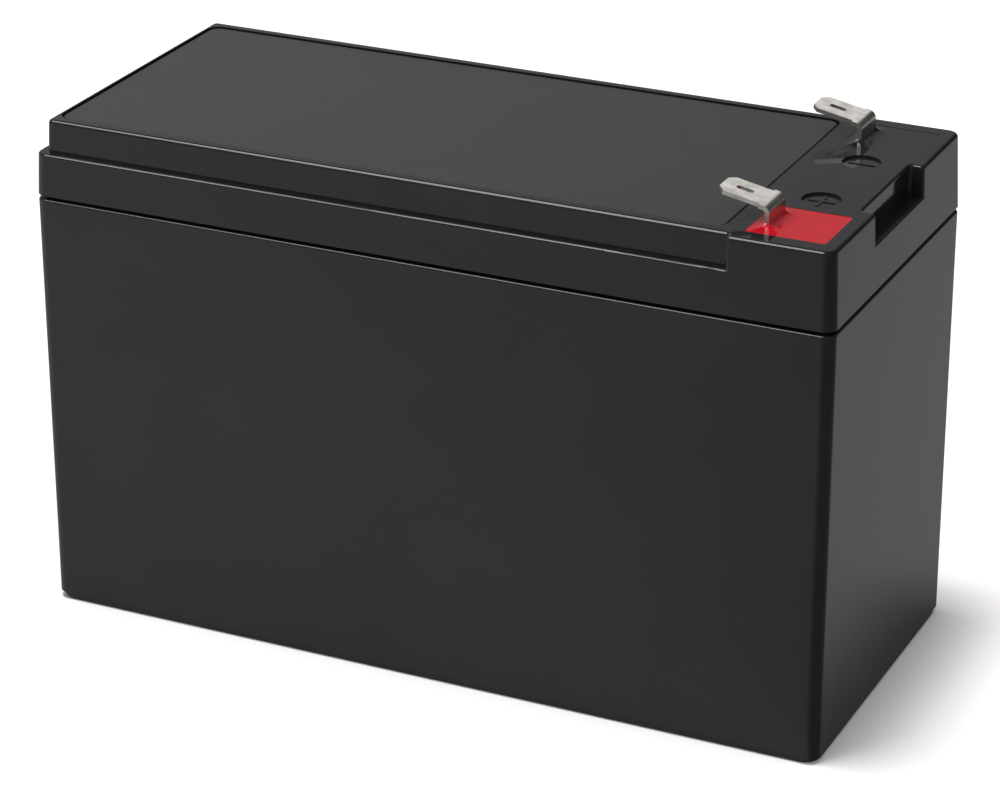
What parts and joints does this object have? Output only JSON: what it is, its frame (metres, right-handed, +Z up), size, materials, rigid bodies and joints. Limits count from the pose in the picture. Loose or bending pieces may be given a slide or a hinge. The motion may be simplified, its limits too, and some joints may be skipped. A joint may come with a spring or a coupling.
{
  "type": "sealed lead-acid battery",
  "caption": "Rectangular sealed battery with a stepped lid, a flush vent cover plate and angled blade terminals set in red and black resin at one end.",
  "frame": {"origin": "middle of the case's bottom face", "axes": "+X along the length towards the terminals, -Y the long side with the positive terminal, +Z up"},
  "size_m": [0.151, 0.065, 0.0994],
  "materials": {
    "case_abs": "moulded ABS, fine satin",
    "lid_abs": "moulded ABS, satin",
    "cover_abs": "moulded ABS, satin",
    "red_resin": "glossy poured epoxy, red",
    "black_resin": "glossy poured epoxy, black",
    "tinned_brass": "tin plated, dull silver",
    "rubber": "moulded rubber",
    "lead": "cast lead alloy, dull grey",
    "positive_paste": "pasted plate, dark brown",
    "negative_paste": "pasted plate, grey",
    "glass_mat": "glass fibre mat, white"
  },
  "bodies": {
    "battery": {"case": "case_abs", "cell_1_negative_plates": "negative_paste", "cell_1_negative_strap": "lead", "cell_1_positive_plates": "positive_paste", "cell_1_positive_strap": "lead", "cell_1_separators": "glass_mat", "cell_2_negative_plates": "negative_paste", "cell_2_negative_strap": "lead", "cell_2_positive_plates": "positive_paste", "cell_2_positive_strap": "lead", "cell_2_separators": "glass_mat", "cell_3_negative_plates": "negative_paste", "cell_3_negative_strap": "lead", "cell_3_positive_plates": "positive_paste", "cell_3_positive_strap": "lead", "cell_3_separators": "glass_mat", "cell_4_negative_plates": "negative_paste", "cell_4_negative_strap": "lead", "cell_4_positive_plates": "positive_paste", "cell_4_positive_strap": "lead", "cell_4_separators": "glass_mat", "cell_5_negative_plates": "negative_paste", "cell_5_negative_strap": "lead", "cell_5_positive_plates": "positive_paste", "cell_5_positive_strap": "lead", "cell_5_separators": "glass_mat", "cell_6_negative_plates": "negative_paste", "cell_6_negative_strap": "lead", "cell_6_positive_plates": "positive_paste", "cell_6_positive_strap": "lead", "cell_6_separators": "glass_mat", "intercell_weld_1": "lead", "intercell_weld_2": "lead", "intercell_weld_3": "lead", "intercell_weld_4": "lead", "intercell_weld_5": "lead", "lid": "lid_abs", "negative_o_ring": "rubber", "negative_pole": "lead", "negative_seal_resin": "black_resin", "negative_tab": "tinned_brass", "positive_o_ring": "rubber", "positive_pole": "lead", "positive_seal_resin": "red_resin", "positive_tab": "tinned_brass", "vent_cover_plate": "cover_abs"},
    "valve_cap_1": {"valve_cap_1": "rubber"},
    "valve_cap_2": {"valve_cap_2": "rubber"},
    "valve_cap_3": {"valve_cap_3": "rubber"},
    "valve_cap_4": {"valve_cap_4": "rubber"},
    "valve_cap_5": {"valve_cap_5": "rubber"},
    "valve_cap_6": {"valve_cap_6": "rubber"}
  },
  "joints": [
    {"name": "valve_cap_1_lift", "type": "slide", "parent": "battery", "child": "valve_cap_1", "axis": [0, 0, 1], "range_m": [0, 0.0005], "stiffness_N_per_m": 300, "springref_m": -0.0012},
    {"name": "valve_cap_2_lift", "type": "slide", "parent": "battery", "child": "valve_cap_2", "axis": [0, 0, 1], "range_m": [0, 0.0005], "stiffness_N_per_m": 300, "springref_m": -0.0012},
    {"name": "valve_cap_3_lift", "type": "slide", "parent": "battery", "child": "valve_cap_3", "axis": [0, 0, 1], "range_m": [0, 0.0005], "stiffness_N_per_m": 300, "springref_m": -0.0012},
    {"name": "valve_cap_4_lift", "type": "slide", "parent": "battery", "child": "valve_cap_4", "axis": [0, 0, 1], "range_m": [0, 0.0005], "stiffness_N_per_m": 300, "springref_m": -0.0012},
    {"name": "valve_cap_5_lift", "type": "slide", "parent": "battery", "child": "valve_cap_5", "axis": [0, 0, 1], "range_m": [0, 0.0005], "stiffness_N_per_m": 300, "springref_m": -0.0012},
    {"name": "valve_cap_6_lift", "type": "slide", "parent": "battery", "child": "valve_cap_6", "axis": [0, 0, 1], "range_m": [0, 0.0005], "stiffness_N_per_m": 300, "springref_m": -0.0012}
  ]
}
